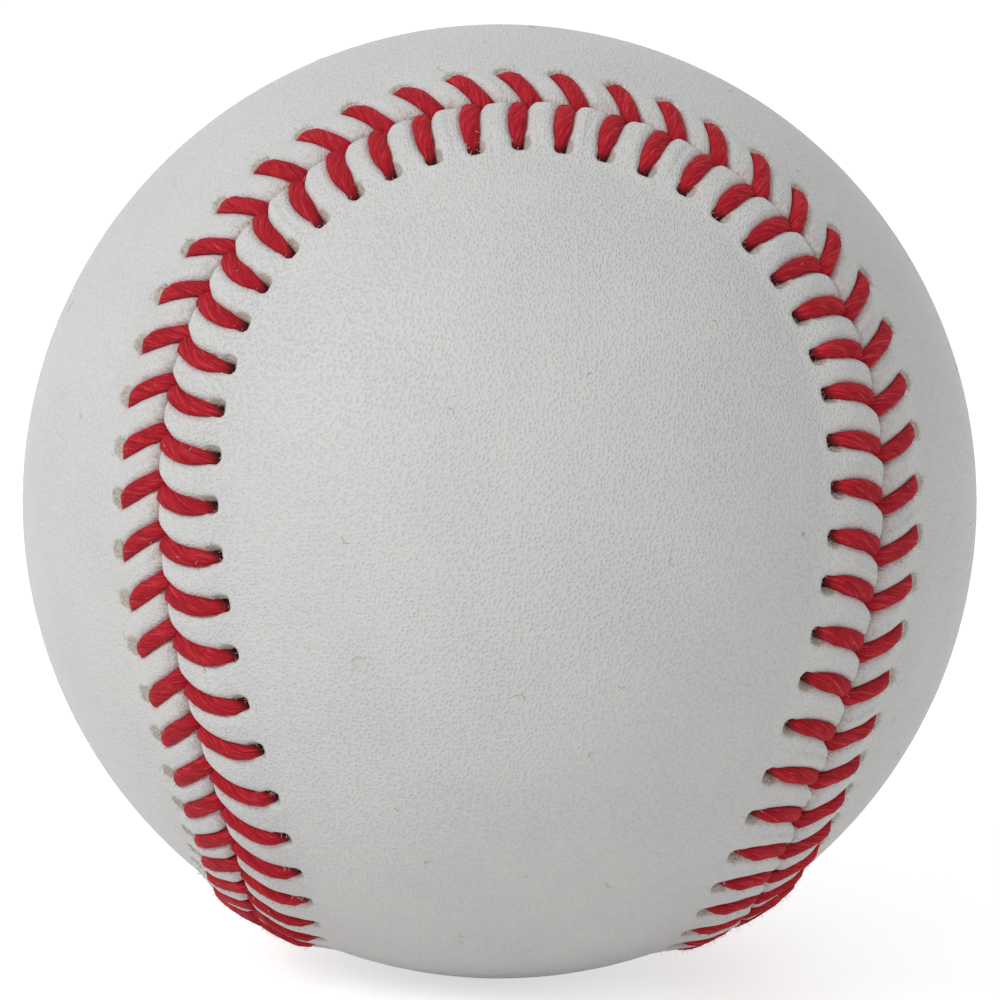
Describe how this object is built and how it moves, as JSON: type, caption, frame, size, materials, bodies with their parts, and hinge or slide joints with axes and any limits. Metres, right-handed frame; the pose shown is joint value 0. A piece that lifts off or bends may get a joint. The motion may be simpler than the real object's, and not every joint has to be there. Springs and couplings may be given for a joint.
{
  "type": "baseball",
  "caption": "Leather-covered ball: figure-8 panels joined by a raised red hand-stitched seam, over wound yarn and a cushioned cork centre.",
  "frame": {"origin": "centre of the ball", "axes": "+Z through the middle of the upper panel's neck; the lower panel's round ends face -Y and +Y, the upper panel's face -X and +X"},
  "size_m": [0.073, 0.073, 0.0728],
  "materials": {
    "cork": "moulded cork and rubber granules, matt",
    "black_rubber": "moulded rubber, matt",
    "red_rubber": "moulded rubber, matt",
    "grey_wool": "tightly wound wool yarn",
    "white_wool": "tightly wound wool yarn",
    "cotton_yarn": "tightly wound cotton and polyester yarn",
    "leather": "white tanned full-grain leather, fine pores, matt with a soft sheen",
    "waxed_thread": "waxed red cotton thread, twisted, slightly fuzzy"
  },
  "bodies": {
    "root": {"cork_core": "cork", "rubber_shell_upper": "black_rubber", "rubber_shell_lower": "black_rubber", "rubber_washer": "red_rubber", "rubber_jacket": "red_rubber", "wool_winding_first": "grey_wool", "wool_winding_second": "white_wool", "wool_winding_third": "grey_wool", "cotton_winding": "cotton_yarn", "cover_panel_upper": "leather", "cover_panel_lower": "leather", "seam_thread": "waxed_thread"}
  },
  "joints": []
}
